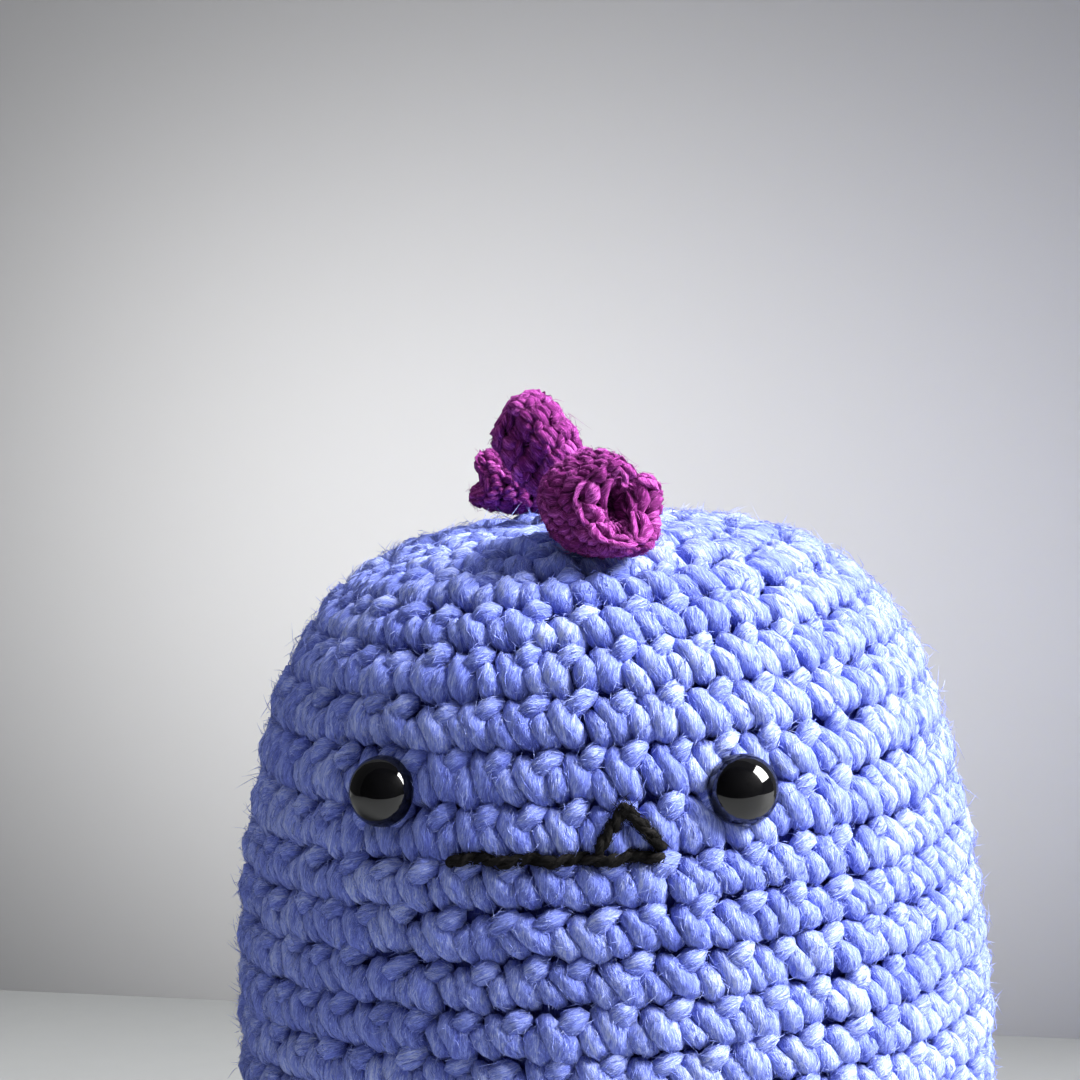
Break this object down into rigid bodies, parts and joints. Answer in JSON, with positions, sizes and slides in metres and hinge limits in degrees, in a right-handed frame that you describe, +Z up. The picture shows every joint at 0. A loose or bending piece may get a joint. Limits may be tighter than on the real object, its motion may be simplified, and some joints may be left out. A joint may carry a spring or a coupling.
{
  "type": "crocheted toy dinosaur",
  "caption": "Round stuffed crochet dinosaur that sits on a flat base, with safety eyes, an embroidered mouth, stubby arms and feet, a tapering tail and a row of curled back spikes.",
  "frame": {"origin": "the middle of the flat base that the toy sits on, on the body's axis", "axes": "+Z up from the base to the crown, -Y the way the face looks, +Y towards the tail, +X the toy's left side"},
  "size_m": [0.0998, 0.1325, 0.12],
  "materials": {
    "body_yarn": "matte",
    "spike_yarn": "matte",
    "black_yarn": "matte",
    "fibre_fill": "matte",
    "eye_plastic": "gloss",
    "washer_plastic": "matte"
  },
  "bodies": {
    "body": {"body_cover": "body_yarn", "body_stuffing": "fibre_fill", "left_eye": "eye_plastic", "right_eye": "eye_plastic", "left_eye_washer": "washer_plastic", "right_eye_washer": "washer_plastic", "mouth_thread": "black_yarn", "tooth_thread": "black_yarn", "left_foot_cover": "body_yarn", "left_foot_stuffing": "fibre_fill", "left_foot_seam": "body_yarn", "right_foot_cover": "body_yarn", "right_foot_stuffing": "fibre_fill", "right_foot_seam": "body_yarn", "tail_cover": "body_yarn", "tail_stuffing": "fibre_fill", "tail_seam": "body_yarn", "left_shoulder_seam": "body_yarn", "right_shoulder_seam": "body_yarn"},
    "left_arm": {"left_arm": "body_yarn"},
    "right_arm": {"right_arm": "body_yarn"},
    "spike_1": {"spike_1": "spike_yarn"},
    "spike_2": {"spike_2": "spike_yarn"},
    "spike_3": {"spike_3": "spike_yarn"},
    "spike_4": {"spike_4": "spike_yarn"},
    "spike_5": {"spike_5": "spike_yarn"},
    "spike_6": {"spike_6": "spike_yarn"},
    "spike_7": {"spike_7": "spike_yarn"}
  },
  "joints": [
    {"name": "left_arm_lift", "type": "hinge", "parent": "body", "child": "left_arm", "pos_m": [0.04096, -0.02178, 0.03999], "axis": [-0.4695, -0.8829, 0], "range_deg": [0, 110]},
    {"name": "right_arm_lift", "type": "hinge", "parent": "body", "child": "right_arm", "pos_m": [-0.04096, -0.02178, 0.03999], "axis": [-0.4695, 0.8829, 0], "range_deg": [0, 110]},
    {"name": "spike_1_flop", "type": "hinge", "parent": "body", "child": "spike_1", "pos_m": [0, -0.01439, 0.10933], "axis": [-1, 0, 0], "range_deg": [0, 70], "stiffness_Nm_per_rad": 0.002},
    {"name": "spike_2_flop", "type": "hinge", "parent": "body", "child": "spike_2", "pos_m": [-0.00251, 0.00231, 0.10896], "axis": [0, 1, -0.003], "range_deg": [-15, 85], "stiffness_Nm_per_rad": 0.002},
    {"name": "spike_3_flop", "type": "hinge", "parent": "body", "child": "spike_3", "pos_m": [-0.00603, 0.01604, 0.10747], "axis": [0, 0.9884, -0.1517], "range_deg": [0, 123], "stiffness_Nm_per_rad": 0.002},
    {"name": "spike_4_flop", "type": "hinge", "parent": "body", "child": "spike_4", "pos_m": [-0.00426, 0.03283, 0.10125], "axis": [0, 0.7501, -0.6614], "range_deg": [-30, 70], "stiffness_Nm_per_rad": 0.002},
    {"name": "spike_5_flop", "type": "hinge", "parent": "body", "child": "spike_5", "pos_m": [-0.00215, 0.0401, 0.09125], "axis": [0, 0.4013, -0.9159], "range_deg": [-64, 36], "stiffness_Nm_per_rad": 0.002},
    {"name": "spike_6_flop", "type": "hinge", "parent": "body", "child": "spike_6", "pos_m": [0, 0.04399, 0.07781], "axis": [0, 0.2157, -0.9765], "range_deg": [-38, 62], "stiffness_Nm_per_rad": 0.002},
    {"name": "spike_7_flop", "type": "hinge", "parent": "body", "child": "spike_7", "pos_m": [0, 0.04632, 0.0644], "axis": [0, 0.1421, -0.9899], "range_deg": [-60, 40], "stiffness_Nm_per_rad": 0.002}
  ]
}
